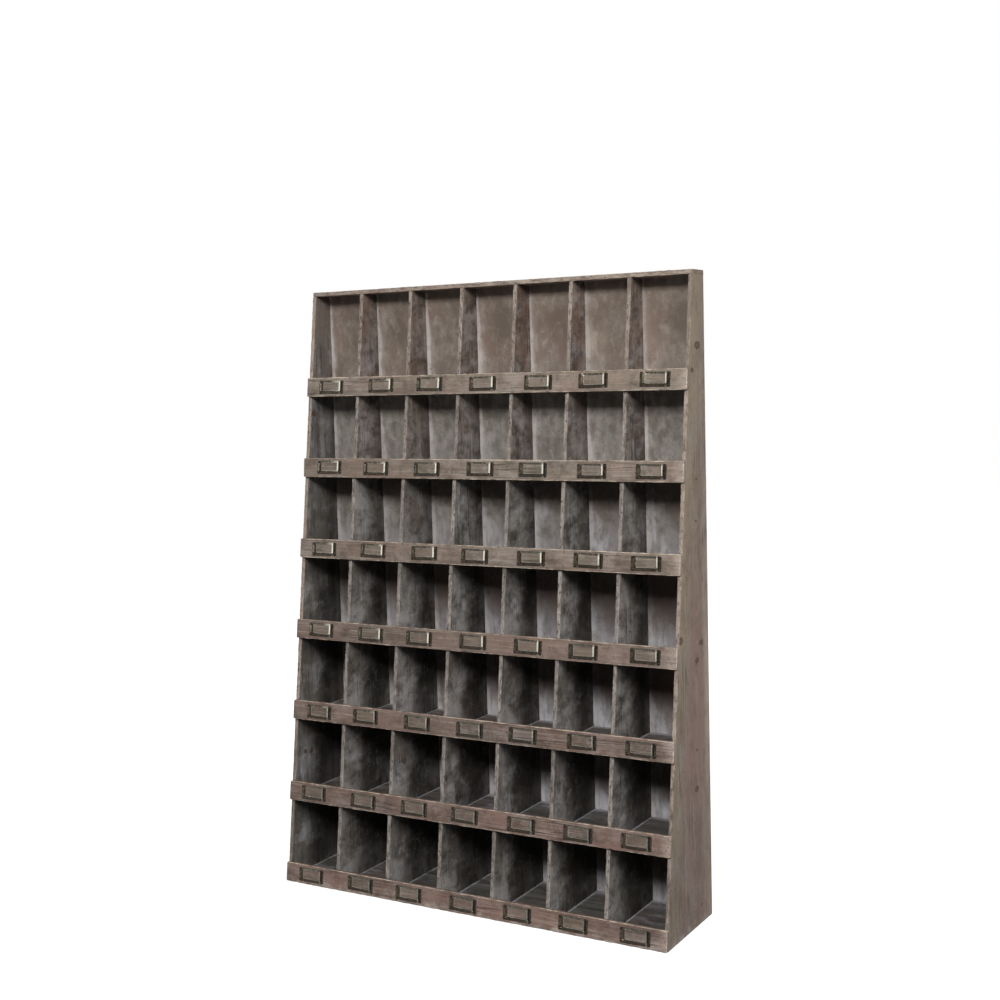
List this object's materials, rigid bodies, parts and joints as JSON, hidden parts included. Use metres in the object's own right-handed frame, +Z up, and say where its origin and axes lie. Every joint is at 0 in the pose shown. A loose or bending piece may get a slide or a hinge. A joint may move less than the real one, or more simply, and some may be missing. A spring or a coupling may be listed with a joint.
{
  "type": "pigeonhole mail sorter",
  "caption": "Free-standing open-front pigeonhole sorter of thin weathered boards: a raking grid of cells with a lip rail and metal card holders across each row.",
  "frame": {"origin": "on the floor, in the middle of the width and of the sides' depth", "axes": "+Z up, +X to the right as seen from the front, -Y the open front, +Y the flat back"},
  "size_m": [0.9854, 0.2511, 1.4],
  "materials": {
    "side_wood": "weathered softwood with a thin grey-brown wash, vertical grain and small knots",
    "shelf_wood": "weathered softwood, dark grey-brown wash",
    "divider_wood": "weathered softwood, grey wash rubbed pale at the front edge",
    "rail_wood": "weathered softwood, warm taupe wash, arrises rubbed bright",
    "back_wood": "thin plywood, streaky milky grey wash",
    "holder_metal": "antiqued, dark greenish bronze, rubbed on the raised edges",
    "brad_steel": "darkened steel"
  },
  "bodies": {
    "root": {"back_brads": "brad_steel", "back_panel": "back_wood", "base_board": "shelf_wood", "divider_1": "divider_wood", "divider_2": "divider_wood", "divider_3": "divider_wood", "divider_4": "divider_wood", "divider_5": "divider_wood", "divider_6": "divider_wood", "label_holders_row_1": "holder_metal", "label_holders_row_2": "holder_metal", "label_holders_row_3": "holder_metal", "label_holders_row_4": "holder_metal", "label_holders_row_5": "holder_metal", "label_holders_row_6": "holder_metal", "label_holders_row_7": "holder_metal", "left_side": "side_wood", "rail_1": "rail_wood", "rail_2": "rail_wood", "rail_3": "rail_wood", "rail_4": "rail_wood", "rail_5": "rail_wood", "rail_6": "rail_wood", "rail_7": "rail_wood", "rail_brads": "brad_steel", "right_side": "side_wood", "shelf_1": "shelf_wood", "shelf_2": "shelf_wood", "shelf_3": "shelf_wood", "shelf_4": "shelf_wood", "shelf_5": "shelf_wood", "shelf_6": "shelf_wood", "side_brads": "brad_steel", "top_board": "side_wood", "top_brads": "brad_steel"}
  },
  "joints": []
}
